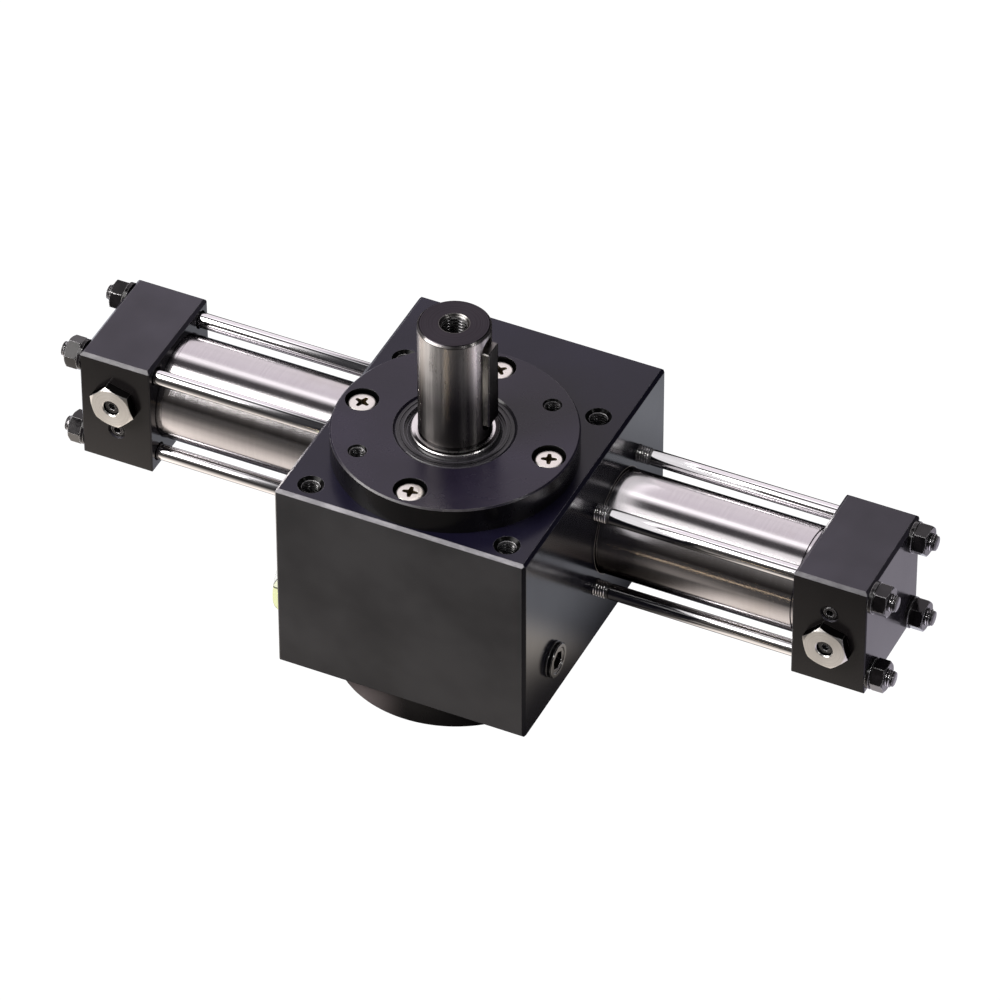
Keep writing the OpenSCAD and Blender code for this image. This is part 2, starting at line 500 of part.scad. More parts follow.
housing();
top_cover();
top_cover_screws();
bottom_cover();
bottom_cover_screws();
top_cover_oring();
bottom_cover_oring();
shaft_seal();
seal_garter_spring();
upper_bearing_outer_ring();
lower_bearing_outer_ring();
rack_guide_shoe();
left_barrel();
right_barrel();
left_barrel_orings();
right_barrel_orings();
left_end_cap();
right_end_cap();
left_tie_rods();
right_tie_rods();
left_rod_washers();
right_rod_washers();
left_rod_nuts();
right_rod_nuts();
left_cushion_cartridge();
right_cushion_cartridge();
left_check_plug();
right_check_plug();
left_check_ball();
right_check_ball();
drain_plug();
drain_plug_washer();
sight_glass();
sight_glass_oring();
output_shaft();
shaft_key();
upper_bearing_inner_ring();
lower_bearing_inner_ring();
upper_bearing_balls();
upper_bearing_cage();
lower_bearing_balls();
lower_bearing_cage();
rack();
left_piston();
right_piston();
left_piston_seal();
right_piston_seal();
left_piston_guide_rings();
right_piston_guide_rings();
left_cushion_spear();
right_cushion_spear();
left_cushion_needle();
right_cushion_needle();
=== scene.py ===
import math

import bmesh
import bpy
from mathutils import Matrix, Vector


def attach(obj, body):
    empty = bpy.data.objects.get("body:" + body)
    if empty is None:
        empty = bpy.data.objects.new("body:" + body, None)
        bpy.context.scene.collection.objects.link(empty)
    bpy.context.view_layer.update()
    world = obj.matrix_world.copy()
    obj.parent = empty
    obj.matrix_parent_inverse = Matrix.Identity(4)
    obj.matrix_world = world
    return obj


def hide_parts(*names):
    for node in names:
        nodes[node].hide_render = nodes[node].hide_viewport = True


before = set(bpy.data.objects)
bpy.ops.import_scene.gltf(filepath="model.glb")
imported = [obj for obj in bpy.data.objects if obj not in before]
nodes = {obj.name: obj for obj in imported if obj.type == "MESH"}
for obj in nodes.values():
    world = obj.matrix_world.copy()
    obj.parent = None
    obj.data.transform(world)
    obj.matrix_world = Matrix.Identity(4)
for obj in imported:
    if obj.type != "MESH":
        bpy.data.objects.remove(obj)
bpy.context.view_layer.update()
scene = bpy.context.scene
MM = 0.001


# ---------------------------------------------------------------- camera

cam_data = bpy.data.cameras.new("camera")
cam_data.lens = 287.431
cam_data.sensor_width = 36.0
cam_data.clip_start = 0.1
cam_data.clip_end = 60.0
cam = bpy.data.objects.new("camera", cam_data)
scene.collection.objects.link(cam)
cam.matrix_world = Matrix((
    (0.9043501, -0.2789491, 0.3230145, 1.4150874),
    (0.4267861, 0.5948678, -0.6811651, -2.9282653),
    (-0.0021405, 0.7538698, 0.6570203, 2.9389147),
    (0.0, 0.0, 0.0, 1.0),
))
scene.camera = cam

scene.view_settings.view_transform = "Standard"
scene.view_settings.look = "None"
scene.view_settings.exposure = 0.0
scene.view_settings.gamma = 1.0


# ---------------------------------------------------------------- node helpers

class Tree:
    """Short calls for building a node tree."""

    def __init__(self, tree):
        self.t = tree

    def put(self, socket, value):
        if isinstance(value, bpy.types.NodeSocket):
            self.t.links.new(value, socket)
        elif isinstance(value, (tuple, list)) and len(value) == 3 and socket.type == "RGBA":
            socket.default_value = (*value, 1.0)
        else:
            socket.default_value = value

    def node(self, kind, ins=(), **attrs):
        n = self.t.nodes.new(kind)
        for k, v in attrs.items():
            setattr(n, k, v)
        for k, v in dict(ins).items():
            self.put(n.inputs[k], v)
        return n

    def math(self, op, a, b=0.0, c=None, clamp=False):
        n = self.node("ShaderNodeMath", {0: a, 1: b}, operation=op, use_clamp=clamp)
        if c is not None:
            self.put(n.inputs[2], c)
        return n.outputs[0]

    def vmath(self, op, a, b=(0.0, 0.0, 0.0), out=0, scale=None):
        n = self.node("ShaderNodeVectorMath", {0: a, 1: b}, operation=op)
        if scale is not None:
            self.put(n.inputs["Scale"], scale)
        return n.outputs[out]

    def ramp(self, value, lo, hi, a=0.0, b=1.0, smooth=True):
        n = self.node(
            "ShaderNodeMapRange",
            {"Value": value, "From Min": lo, "From Max": hi, "To Min": a, "To Max": b},
            interpolation_type="SMOOTHSTEP" if smooth else "LINEAR",
        )
        return n.outputs[0]

    def mix(self, factor, a, b):
        n = self.node("ShaderNodeMix", data_type="RGBA")
        self.put(n.inputs[0], factor)
        self.put(n.inputs[6], a)
        self.put(n.inputs[7], b)
        return n.outputs[2]

    def fmix(self, factor, a, b):
        n = self.node("ShaderNodeMix", data_type="FLOAT")
        self.put(n.inputs[0], factor)
        self.put(n.inputs[2], a)
        self.put(n.inputs[3], b)
        return n.outputs[0]

    def vmix(self, factor, a, b):
        n = self.node("ShaderNodeMix", data_type="VECTOR")
        self.put(n.inputs[0], factor)
        self.put(n.inputs[4], a)
        self.put(n.inputs[5], b)
        return n.outputs[1]

    def split(self, v):
        n = self.node("ShaderNodeSeparateXYZ", {0: v})
        return n.outputs[0], n.outputs[1], n.outputs[2]

    def join(self, x=0.0, y=0.0, z=0.0):
        return self.node("ShaderNodeCombineXYZ", {0: x, 1: y, 2: z}).outputs[0]

    def noise(self, vector, scale, detail=2.0, rough=0.5, stretch=None):
        if stretch is not None:
            vector = self.vmath("MULTIPLY", vector, stretch)
        n = self.node(
            "ShaderNodeTexNoise",
            {"Vector": vector, "Scale": scale, "Detail": detail, "Roughness": rough},
        )
        return n.outputs[0]


def new_material(name):
    mat = bpy.data.materials.new(name)
    mat.use_nodes = True
    tree = mat.node_tree
    tree.nodes.clear()
    t = Tree(tree)
    bsdf = t.node("ShaderNodeBsdfPrincipled")
    out = t.node("ShaderNodeOutputMaterial")
    tree.links.new(bsdf.outputs[0], out.inputs[0])
    place = t.node("ShaderNodeTexCoord").outputs["Object"]
    return mat, t, bsdf, place


def edge_mask(t, radius, lo=0.006, hi=0.12):
    """Rounded normal of the edges, and 1 on the edges and 0 on the faces."""
    bevel = t.node("ShaderNodeBevel", {"Radius": radius}, samples=4)
    true = t.node("ShaderNodeNewGeometry").outputs["Normal"]
    dot = t.vmath("DOT_PRODUCT", bevel.outputs[0], true, out=1)
    off = t.math("SUBTRACT", 1.0, dot)
    return bevel.outputs[0], t.ramp(off, lo, hi)


def black_finish(name, top, front, sides, chamfer_highlight, edge_tone, rough=0.36, level=0.5, grain=1.0, edge=0.0006, lines=None, holes=(), lit_low_left=None, bore=None):
    """Satin black on machined steel: cloudy sheen, fine grain, tool lines that show through, bare edges, the upper ones
    also a painted highlight.
    Painted light and shade: the top, the front and the sides get their own tones by which way they face."""
    mat, t, bsdf, place = new_material(name)
    facing = t.node("ShaderNodeTexCoord").outputs["Normal"]
    nx, ny, nz = t.split(facing)
    # Painted light and shade: the tone is set by which way a face turns
    tone = t.mix(t.ramp(ny, -0.78, -0.93), sides, front)
    tone = t.mix(t.ramp(nz, 0.5, 0.85), tone, top)
    # Bare brushed metal on the front-top chamfered edge, lightened as a painted highlight
    bare = t.math("MULTIPLY", t.ramp(ny, -0.5, -0.62), t.ramp(nz, 0.5, 0.62))
    brushed = t.ramp(t.noise(place, 220.0, 3.0, 0.6, stretch=(0.5, 1.0, 1.0)), 0.3, 0.7, 0.55, 1.0)
    tone = t.mix(t.math("MULTIPLY", bare, brushed), tone, chamfer_highlight)
    # Painted light: faces turned to the front left are lightened
    if lit_low_left is not None:
        tone = t.mix(t.math("MULTIPLY", t.ramp(nx, 0.05, -0.40), t.ramp(ny, 0.1, -0.2)), tone, lit_low_left)
    # Painted shade in the holes: their walls are darkened, their reflections and edge marks dimmed
    inside = 0.0
    for (hx, hy, hr) in holes:
        away = t.vmath("LENGTH", t.vmath("SUBTRACT", t.vmath("MULTIPLY", place, (1.0, 1.0, 0.0)), (hx, hy, 0.0)), out=1)
        inside = t.math("MAXIMUM", inside, t.ramp(away, hr + 0.0003, hr))
    if holes:
        inside = t.math("MULTIPLY", inside, t.ramp(nz, 0.97, 0.9))
        tone = t.mix(inside, tone, (0.002, 0.002, 0.002))
    cloud = t.noise(place, 17.0, 3.0, 0.55)
    fine = t.noise(place, 1500.0, 3.0, 0.6)
    smear = t.noise(place, 60.0, 4.0, 0.6, stretch=(1.0, 1.0, 0.35))
    round_normal, on_edge = edge_mask(t, edge)
    # Rubbed bare edges, kept to the upper edges, which also serve as a painted highlight
    wear_and_highlight = t.math("MULTIPLY", on_edge, t.ramp(t.noise(place, 260.0, 3.0, 0.6), 0.34, 0.62, 0.35, 1.0))
    wear_and_highlight = t.math("MULTIPLY", wear_and_highlight, t.ramp(nz, 0.15, 0.4))
    if holes:
        wear_and_highlight = t.math("MULTIPLY", wear_and_highlight, t.fmix(inside, 1.0, 0.35))
    if bore is not None:
        # The bare mouth of the bore round each barrel, painted as a bright warm line that stands for its highlight
        off = distance_from(t, place, bore[:3], "X")
        mouth = t.math("MULTIPLY", t.ramp(off, bore[3], bore[3] + 0.0002), t.ramp(off, bore[3] + 0.0009, bore[3] + 0.0006))
        mouth = t.math("MULTIPLY", mouth, t.ramp(t.math("ABSOLUTE", nx), 0.85, 0.95))
        wear_and_highlight = t.math("MAXIMUM", wear_and_highlight, mouth)
        edge_tone = t.mix(mouth, edge_tone, (0.85, 0.78, 0.68))
    shade = t.math("ADD", t.ramp(cloud, 0.3, 0.7, 0.8, 1.22), t.ramp(fine, 0.62, 0.8, 0.0, 0.3))
    colour = t.vmath("SCALE", tone, scale=shade)
    colour = t.mix(t.math("MULTIPLY", wear_and_highlight, 0.75), colour, edge_tone)
    t.put(bsdf.inputs["Base Color"], colour)
    r = t.math("ADD", t.ramp(cloud, 0.25, 0.75, rough - 0.035, rough + 0.035), t.ramp(smear, 0.35, 0.7, -0.02, 0.03))
    r = t.math("SUBTRACT", r, t.math("MULTIPLY", wear_and_highlight, 0.08))
    r = t.math("SUBTRACT", r, t.ramp(t.math("ABSOLUTE", nx), 0.85, 0.95, 0.0, 0.045))
    t.put(bsdf.inputs["Roughness"], r)
    if holes:
        t.put(bsdf.inputs["Specular IOR Level"], t.fmix(inside, level, 0.12))
    else:
        bsdf.inputs["Specular IOR Level"].default_value = level
    height = t.math("MULTIPLY", fine, 0.5)
    if lines is not None:
        tool = t.noise(place, 900.0, 2.0, 0.5, stretch=lines)
        height = t.math("ADD", height, t.math("MULTIPLY", tool, 0.5))
    bump = t.node("ShaderNodeBump", {"Height": height, "Strength": 0.16 * grain, "Distance": 0.00006, "Normal": round_normal})
    t.put(bsdf.inputs["Normal"], bump.outputs[0])
    return mat


def metal(name, tone, rough, tint=0.1, aniso=0.0, tangent=None, streak=(1.0, 1.0, 1.0), streak_scale=900.0,
          amount=0.25, var=0.06, edge=0.0003, dirt=None, edge_tone=None):
    """Bright metal: streaks of tool or honing marks in colour, roughness and bump, polished edges, faint stains."""
    mat, t, bsdf, place = new_material(name)
    marks = t.noise(place, streak_scale, 3.0, 0.65, stretch=streak)
    cloud = t.noise(place, 28.0, 4.0, 0.6)
    if edge:
        round_normal, on_edge = edge_mask(t, edge)
    dark = tuple(c * (1.0 - var) for c in tone)
    light = tuple(min(1.0, c * (1.0 + var)) for c in tone)
    colour = t.mix(t.ramp(marks, 0.3, 0.7), dark, light)
    if dirt is not None:
        colour = t.mix(t.ramp(cloud, 0.52, 0.74, 0.0, 0.5), colour, dirt)
    if edge:
        bare = edge_tone or tuple(min(1.0, c * 1.15) for c in tone)
        colour = t.mix(t.math("MULTIPLY", on_edge, 0.9 if edge_tone else 0.6), colour, bare)
    t.put(bsdf.inputs["Base Color"], colour)
    bsdf.inputs["Metallic"].default_value = 1.0
    bsdf.inputs["Specular Tint"].default_value = (tint, tint, tint, 1.0)
    r = t.math("ADD", t.ramp(cloud, 0.3, 0.7, rough * 0.88, rough * 1.12), t.ramp(marks, 0.3, 0.7, -rough * 0.12, rough * 0.12))
    t.put(bsdf.inputs["Roughness"], r)
    bump = t.node("ShaderNodeBump", {"Height": marks, "Strength": amount, "Distance": 0.00002})
    if edge:
        t.put(bump.inputs["Normal"], round_normal)
    t.put(bsdf.inputs["Normal"], bump.outputs[0])
    if aniso:
        bsdf.inputs["Anisotropic"].default_value = aniso
        t.put(bsdf.inputs["Tangent"], tangent(t, place) if callable(tangent) else t.join(*tangent))
    return mat, t, bsdf, place


def radial_from(centre, axis):
    """Direction away from a line through centre along X, Y or Z, for turned faces."""

    def build(t, place):
        keep = [1.0, 1.0, 1.0]
        keep["XYZ".index(axis)] = 0.0
        away = t.vmath("MULTIPLY", t.vmath("SUBTRACT", place, centre), tuple(keep))
        return t.vmath("NORMALIZE", away)

    return build


def distance_from(t, place, centre, axis):
    keep = [1.0, 1.0, 1.0]
    keep["XYZ".index(axis)] = 0.0
    away = t.vmath("MULTIPLY", t.vmath("SUBTRACT", place, centre), tuple(keep))
    return t.vmath("LENGTH", away, out=1)


# ---------------------------------------------------------------- materials

M = {}
M["black_housing"] = black_finish("black_housing_finish", (0.0080, 0.0068, 0.0190), (0.046, 0.0445, 0.046), (0.008, 0.008, 0.013),
                                  (0.30, 0.29, 0.31), (0.24, 0.235, 0.25), rough=0.22, level=0.37, lines=(0.25, 1.0, 0.02),
                                  holes=[(0.058 * i, 0.058 * j, 0.0074) for i in (-1, 1) for j in (-1, 1)],
                                  bore=(0.0, 0.049, 0.079, 0.0300))
M["black_cover"] = black_finish("black_cover_finish", (0.016, 0.0125, 0.026), (0.006, 0.0055, 0.006), (0.004, 0.0035, 0.005),
                                (0.08, 0.075, 0.08), (0.22, 0.21, 0.22), rough=0.26, level=0.42, edge=0.0004,
                                holes=[(0.03924, 0.03924, 0.0054), (-0.03924, -0.03924, 0.0054), (0.0555, 0.0, 0.0095),
                                       (-0.0555, 0.0, 0.0095), (0.0, 0.0555, 0.0095), (0.0, -0.0555, 0.0095)])
M["black_base"] = black_finish("black_base_finish", (0.016, 0.0125, 0.026), (0.010, 0.009, 0.009), (0.004, 0.0035, 0.005),
                               (0.08, 0.075, 0.08), (0.22, 0.21, 0.22), rough=0.26, level=0.42, edge=0.0004, lines=(1.0, 1.0, 0.05),
                               lit_low_left=(0.17, 0.145, 0.145))
M["black_cap"] = black_finish("black_cap_finish", (0.041, 0.0375, 0.050), (0.010, 0.0088, 0.009), (0.016, 0.0145, 0.019),
                              (0.17, 0.165, 0.175), (0.24, 0.235, 0.25), rough=0.22, level=0.30, lines=(0.02, 1.0, 0.08))

barrel = metal("honed_barrel_finish", (0.71, 0.685, 0.70), 0.18, tint=0.02, aniso=0.75, tangent=(1.0, 0.0, 0.0),
                              streak=(1.0, 0.02, 0.02), streak_scale=1400.0, amount=0.06, var=0.03, edge=None, dirt=(0.62, 0.58, 0.56))


def shade_barrel_underside(mat, t, bsdf, place):
    """Painted shade: the underside of the barrel is darkened to a brown, most towards the housing."""
    x, y, z = t.split(place)
    low = t.ramp(z, 0.088, 0.074)
    near = t.math("ADD", t.ramp(x, 0.155, 0.085, 0.0, 0.80), t.math("MULTIPLY", t.math("SUBTRACT", t.noise(place, 22.0, 3.0, 0.55), 0.5), 0.3))
    painted_shading = t.math("MULTIPLY", t.math("MULTIPLY", low, near, clamp=True), t.ramp(x, -0.01, 0.01))
    unshaded = bsdf.inputs["Base Color"].links[0].from_socket
    t.put(bsdf.inputs["Base Color"], t.mix(painted_shading, unshaded, (0.085, 0.066, 0.052)))


shade_barrel_underside(*barrel)
M["honed_barrel"] = barrel[0]
M["tie_rod_steel"], *_ = metal("tie_rod_finish", (0.97, 0.96, 0.975), 0.09, tint=0.02, aniso=0.7, tangent=(1.0, 0.0, 0.0),
                               streak=(0.02, 1.0, 1.0), streak_scale=500.0, amount=0.02, var=0.03, edge=None)


def shaft_finish():
    """Ground shaft: rings of grinding marks, blackened end face with a turned sheen."""
    mat, t, bsdf, place = metal("ground_shaft_finish", (0.86, 0.82, 0.795), 0.30, tint=0.04, aniso=0.90, tangent=(0.0, 0.0, 1.0),
                                streak=(1.0, 1.0, 0.015), streak_scale=800.0, amount=0.015, var=0.07, edge=0.0002)
    x, y, z = t.split(place)
    end = t.ramp(z, 0.2284, 0.2288)
    far = distance_from(t, place, (0.0, 0.0, 0.0), "Z")
    hole = t.math("MULTIPLY", t.ramp(far, 0.0088, 0.0082), t.ramp(z, 0.19, 0.2))
    black = t.math("MAXIMUM", end, hole)
    rings = t.node("ShaderNodeTexNoise", {"W": t.math("MULTIPLY", far, 1900.0), "Scale": 1.0, "Detail": 3.0}, noise_dimensions="1D").outputs[0]
    old = bsdf.inputs["Base Color"].links[0].from_socket
    dark = t.mix(t.ramp(rings, 0.3, 0.7), (0.050, 0.045, 0.052), (0.072, 0.066, 0.074))
    dark = t.mix(hole, dark, t.mix(t.ramp(rings, 0.35, 0.65), (0.10, 0.095, 0.09), (0.30, 0.29, 0.28)))
    # Painted shade: the lower part of the shaft is darkened
    skin = t.mix(t.ramp(z, 0.222, 0.180, 0.0, 0.84), old, (0.05, 0.045, 0.045))
    # Painted shade: a darker band at the top edge tones down its highlight
    rim = t.math("MULTIPLY", t.ramp(z, 0.2270, 0.2272), t.ramp(far, 0.0186, 0.0188))
    skin = t.mix(rim, skin, (0.30, 0.285, 0.28))
    skin = t.mix(black, skin, dark)
    # Collar under the seal's lip: painted reflection, dark with a bright crescent on one side and two bright rings
    around = t.math("ARCTAN2", y, x)
    painted_crescent = t.math("MAXIMUM", t.ramp(around, -2.3, -2.6), t.ramp(around, 2.2, 2.5))
    painted_rings = t.math("MAXIMUM", t.math("MULTIPLY", t.ramp(far, 0.02015, 0.0203), t.ramp(far, 0.0219, 0.0216)), t.ramp(far, 0.0234, 0.0237))
    painted_shading = t.mix(t.math("MAXIMUM", painted_crescent, painted_rings), (0.040, 0.037, 0.038), (0.95, 0.93, 0.92))
    collar = t.math("MULTIPLY", t.ramp(z, 0.1575, 0.1573), t.ramp(far, 0.0200, 0.0202))
    skin = t.mix(collar, skin, painted_shading)
    foot = t.math("MULTIPLY", t.ramp(z, 0.1592, 0.1584), t.ramp(far, 0.02012, 0.02004))
    t.put(bsdf.inputs["Base Color"], t.mix(t.math("MULTIPLY", foot, 0.9), skin, (0.02, 0.019, 0.02)))
    t.put(bsdf.inputs["Roughness"], t.fmix(black, bsdf.inputs["Roughness"].links[0].from_socket, 0.3))
    away = radial_from((0.0, 0.0, 0.0), "Z")(t, place)
    t.put(bsdf.inputs["Tangent"], t.vmix(t.math("MAXIMUM", end, collar), (0.0, 0.0, 1.0), away))
    t.put(bsdf.inputs["Anisotropic"], t.fmix(t.math("MAXIMUM", black, collar), 0.90, 0.5))
    return mat


M["ground_shaft"] = shaft_finish()
M["key_steel"], *_ = metal("key_steel_finish", (0.22, 0.21, 0.20), 0.24, tint=0.15, aniso=0.5, tangent=(0.0, 0.0, 1.0),
                           streak=(1.0, 1.0, 0.03), streak_scale=700.0, amount=0.2, var=0.12, edge=0.0005, edge_tone=(0.92, 0.90, 0.88))
M["rod_thread"], *_ = metal("rod_thread_finish", (0.85, 0.84, 0.85), 0.12, tint=0.1, streak_scale=900.0, amount=0.2, var=0.15)
M["hole_thread"], *_ = metal("hole_thread_finish", (0.14, 0.137, 0.14), 0.18, tint=0.1, streak_scale=900.0, amount=0.2, var=0.3)
M["bright_screws"], *_ = metal("bright_screws_finish", (0.93, 0.90, 0.84), 0.30, tint=0.35, streak_scale=700.0, amount=0.2, var=0.06)
M["screw_recess"], *_ = metal("screw_recess_finish", (0.16, 0.125, 0.075), 0.42, tint=0.1, streak_scale=900.0, amount=0.5, var=0.35)
M["bearing_steel"], *_ = metal("bearing_steel_finish", (0.75, 0.76, 0.78), 0.14, tint=0.3, streak_scale=900.0, amount=0.08, var=0.03)
M["rack_steel"], *_ = metal("rack_steel_finish", (0.55, 0.55, 0.57), 0.28, tint=0.3, streak=(0.1, 1.0, 1.0), streak_scale=900.0, amount=0.25, var=0.1)
M["bronze"], *_ = metal("bronze_finish", (0.72, 0.50, 0.24), 0.32, tint=0.5, streak_scale=800.0, amount=0.25, var=0.12, dirt=(0.42, 0.27, 0.12))
M["turned_steel"], *_ = metal("turned_steel_finish", (0.72, 0.70, 0.68), 0.26, tint=0.3, streak=(1.0, 0.1, 0.1), streak_scale=900.0, amount=0.2, var=0.08)


def turned_face(name, centre, tone, rough, pitch=0.00042):
    """A faced and chamfered end: fine rings about an axis along Y."""
    mat, t, bsdf, place = new_material(name)
    far = distance_from(t, place, centre, "Y")
    cut = t.node("ShaderNodeTexNoise", {"W": t.math("DIVIDE", far, pitch), "Scale": 1.0, "Detail": 2.0}, noise_dimensions="1D").outputs[0]
    grain = t.noise(place, 1300.0, 2.0, 0.5)
    cloud = t.noise(place, 90.0, 3.0, 0.6)
    round_normal, on_edge = edge_mask(t, 0.0004)
    colour = t.mix(t.ramp(cut, 0.32, 0.68), tuple(c * 0.86 for c in tone), tone)
    colour = t.mix(t.ramp(cloud, 0.5, 0.8, 0.0, 0.3), colour, tuple(c * 0.75 for c in tone))
    ny = t.split(t.node("ShaderNodeTexCoord").outputs["Normal"])[1]
    flat = t.ramp(ny, -0.75, -0.45)
    colour = t.mix(flat, colour, (0.045, 0.042, 0.042))
    colour = t.mix(t.math("MULTIPLY", on_edge, 0.8), colour, (0.95, 0.93, 0.9))
    t.put(bsdf.inputs["Base Color"], colour)
    bsdf.inputs["Metallic"].default_value = 1.0
    bsdf.inputs["Specular Tint"].default_value = (0.2, 0.2, 0.2, 1.0)
    t.put(bsdf.inputs["Roughness"], t.math("ADD", t.ramp(cut, 0.3, 0.7, rough - 0.04, rough + 0.04), t.ramp(grain, 0.3, 0.7, -0.03, 0.03)))
    bump = t.node("ShaderNodeBump", {"Height": t.math("ADD", cut, t.math("MULTIPLY", grain, 0.3)), "Strength": 0.2, "Distance": 0.00004, "Normal": round_normal})
    t.put(bsdf.inputs["Normal"], bump.outputs[0])
    bsdf.inputs["Anisotropic"].default_value = 0.5
    t.put(bsdf.inputs["Tangent"], radial_from(centre, "Y")(t, place))
    return mat


M["cartridge_left"] = turned_face("cartridge_left_finish", (-0.2145, 0.0, 0.086), (0.98, 0.96, 0.92), 0.34)
M["cartridge_right"] = turned_face("cartridge_right_finish", (0.2145, 0.0, 0.072), (0.98, 0.96, 0.92), 0.34)


def oxide_finish(name, tone, rough, level, rim=None):
    """Black oxide with oil on it: glossy, mottled, bright on rubbed corners; a given rim is bared and lightened as a
    painted highlight.
    """
    mat, t, bsdf, place = new_material(name)
    cloud = t.noise(place, 130.0, 4.0, 0.6)
    fine = t.noise(place, 1100.0, 3.0, 0.6)
    round_normal, on_edge = edge_mask(t, 0.0007 if rim is None else 0.0004)
    wear_and_highlight = t.math("MULTIPLY", on_edge, t.ramp(fine, 0.38, 0.6, 0.5, 1.0))
    if rim is not None:
        rim_wear_and_glint = t.ramp(distance_from(t, place, rim[:3], "X"), rim[3] - 0.0004, rim[3] - 0.0001)
        wear_and_highlight = t.math("MAXIMUM", wear_and_highlight, t.math("MULTIPLY", t.math("MULTIPLY", rim_wear_and_glint, on_edge), t.ramp(fine, 0.3, 0.5, 0.7, 1.0)))
    colour = t.mix(t.ramp(cloud, 0.35, 0.65), tuple(c * 0.6 for c in tone), tuple(c * 1.5 for c in tone))
    colour = t.mix(t.math("MULTIPLY", wear_and_highlight, 0.75), colour, (0.80, 0.79, 0.80))
    t.put(bsdf.inputs["Metallic"], t.math("MULTIPLY", wear_and_highlight, 0.75))
    t.put(bsdf.inputs["Base Color"], colour)
    t.put(bsdf.inputs["Roughness"], t.ramp(cloud, 0.3, 0.7, rough - 0.06, rough + 0.06))
    # Painted shade: reflections are halved on the fasteners at the far left end
    t.put(bsdf.inputs["Specular IOR Level"], t.ramp(t.split(place)[0], -0.23, -0.20, level * 0.5, level))
    bump = t.node("ShaderNodeBump", {"Height": fine, "Strength": 0.25, "Distance": 0.00005, "Normal": round_normal})
    t.put(bsdf.inputs["Normal"], bump.outputs[0])
    return mat


M["black_fasteners"] = oxide_finish("black_fasteners_finish", (0.009, 0.008, 0.009), 0.12, 0.48)
M["drain_plug"] = oxide_finish("drain_plug_finish", (0.006, 0.0055, 0.006), 0.14, 0.8, rim=(0.074, -0.0346, 0.0458, 0.0102))
M["thread_root"] = oxide_finish("thread_root_finish", (0.003, 0.003, 0.003), 0.3, 0.2)
M["needle"] = oxide_finish("cushion_needle_finish", (0.008, 0.007, 0.007), 0.12, 0.9)


def rubber_finish(name, tone, rough, centre=None):
    mat, t, bsdf, place = new_material(name)
    fine = t.noise(place, 1200.0, 4.0, 0.6)
    cloud = t.noise(place, 80.0, 3.0, 0.6)
    height = fine
    colour = t.mix(t.ramp(cloud, 0.3, 0.7), tuple(c * 0.75 for c in tone), tuple(c * 1.3 for c in tone))
    if centre is not None:
        far = distance_from(t, place, centre, "Z")
        wave = t.math("SINE", t.math("MULTIPLY", far, 2.0 * math.pi / 0.0021))
        height = t.math("ADD", t.math("MULTIPLY", wave, 1.4), t.math("MULTIPLY", fine, 0.4))
        colour = t.mix(t.ramp(wave, 0.5, 1.0, 0.0, 0.8), colour, tuple(c * 4.0 for c in tone))
    t.put(bsdf.inputs["Base Color"], colour)
    t.put(bsdf.inputs["Roughness"], t.ramp(cloud, 0.3, 0.7, rough - 0.05, rough + 0.08))
    bump = t.node("ShaderNodeBump", {"Height": height, "Strength": 0.5, "Distance": 0.0001})
    t.put(bsdf.inputs["Normal"], bump.outputs[0])
    return mat


M["seal_rubber"] = rubber_finish("seal_rubber_finish", (0.022, 0.021, 0.024), 0.5)
M["shaft_seal"] = rubber_finish("shaft_seal_finish", (0.018, 0.017, 0.020), 0.26, centre=(0.0, 0.0, 0.0))
M["guide_plastic"] = rubber_finish("guide_plastic_finish", (0.45, 0.33, 0.2), 0.5)


def glass_finish():
    """Clear dome of the sight glass, with oil in its lower half."""
    mat, t, bsdf, place = new_material("clear_glass_finish")
    x, y, z = t.split(place)
    wobble = t.noise(place, 300.0, 2.0, 0.5)
    level = t.math("ADD", z, t.math("MULTIPLY", t.math("SUBTRACT", wobble, 0.5), 0.0008))
    oil = t.ramp(level, 0.0644, 0.0636)
    line = t.math("SUBTRACT", 1.0, t.ramp(t.math("ABSOLUTE", t.math("SUBTRACT", level, 0.0642)), 0.0003, 0.0007))
    body = t.mix(oil, (0.98, 0.985, 0.98), t.mix(wobble, (0.92, 0.94, 0.58), (0.86, 0.89, 0.48)))
    # Painted shade: a dark outline along the upper edge of the dome
    rim = t.math("MULTIPLY", edge_mask(t, 0.0009)[1], t.math("SUBTRACT", 1.0, oil))
    t.put(bsdf.inputs["Base Color"], t.mix(t.math("MAXIMUM", line, rim), body, (0.03, 0.03, 0.025)))
    bsdf.inputs["Transmission Weight"].default_value = 0.97
    bsdf.inputs["IOR"].default_value = 1.03
    t.put(bsdf.inputs["Roughness"], t.ramp(wobble, 0.3, 0.7, 0.0, 0.02))
    bump = t.node("ShaderNodeBump", {"Height": wobble, "Strength": 0.03, "Distance": 0.0001})
    t.put(bsdf.inputs["Normal"], bump.outputs[0])
    return mat


M["clear_glass"] = glass_finish()

own = {
    "left_cushion_cartridge": "cartridge_left",
    "right_cushion_cartridge": "cartridge_right",
    "left_cushion_needle": "needle",
    "right_cushion_needle": "needle",
    "shaft_seal": "shaft_seal",
    "bottom_cover": "black_base",
    "drain_plug": "drain_plug",
}
for name, obj in nodes.items():
    for i, slot_material in enumerate(obj.data.materials):
        key = own.get(name, slot_material.name.split(".")[0])
        obj.data.materials[i] = M[key]


# ---------------------------------------------------------------- mesh helpers

def add_piece(name, bm, materials, body, replaces=(), smooth=None):
    me = bpy.data.meshes.new(name)
    bmesh.ops.recalc_face_normals(bm, faces=bm.faces)
    bm.to_mesh(me)
    bm.free()
    for m in materials:
        me.materials.append(m)
    obj = bpy.data.objects.new(name, me)
    scene.collection.objects.link(obj)
    if smooth is not None:
        me.shade_smooth()
        me.set_sharp_from_angle(angle=math.radians(smooth))
    if replaces:
        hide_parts(*replaces)
    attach(obj, body)
    return obj


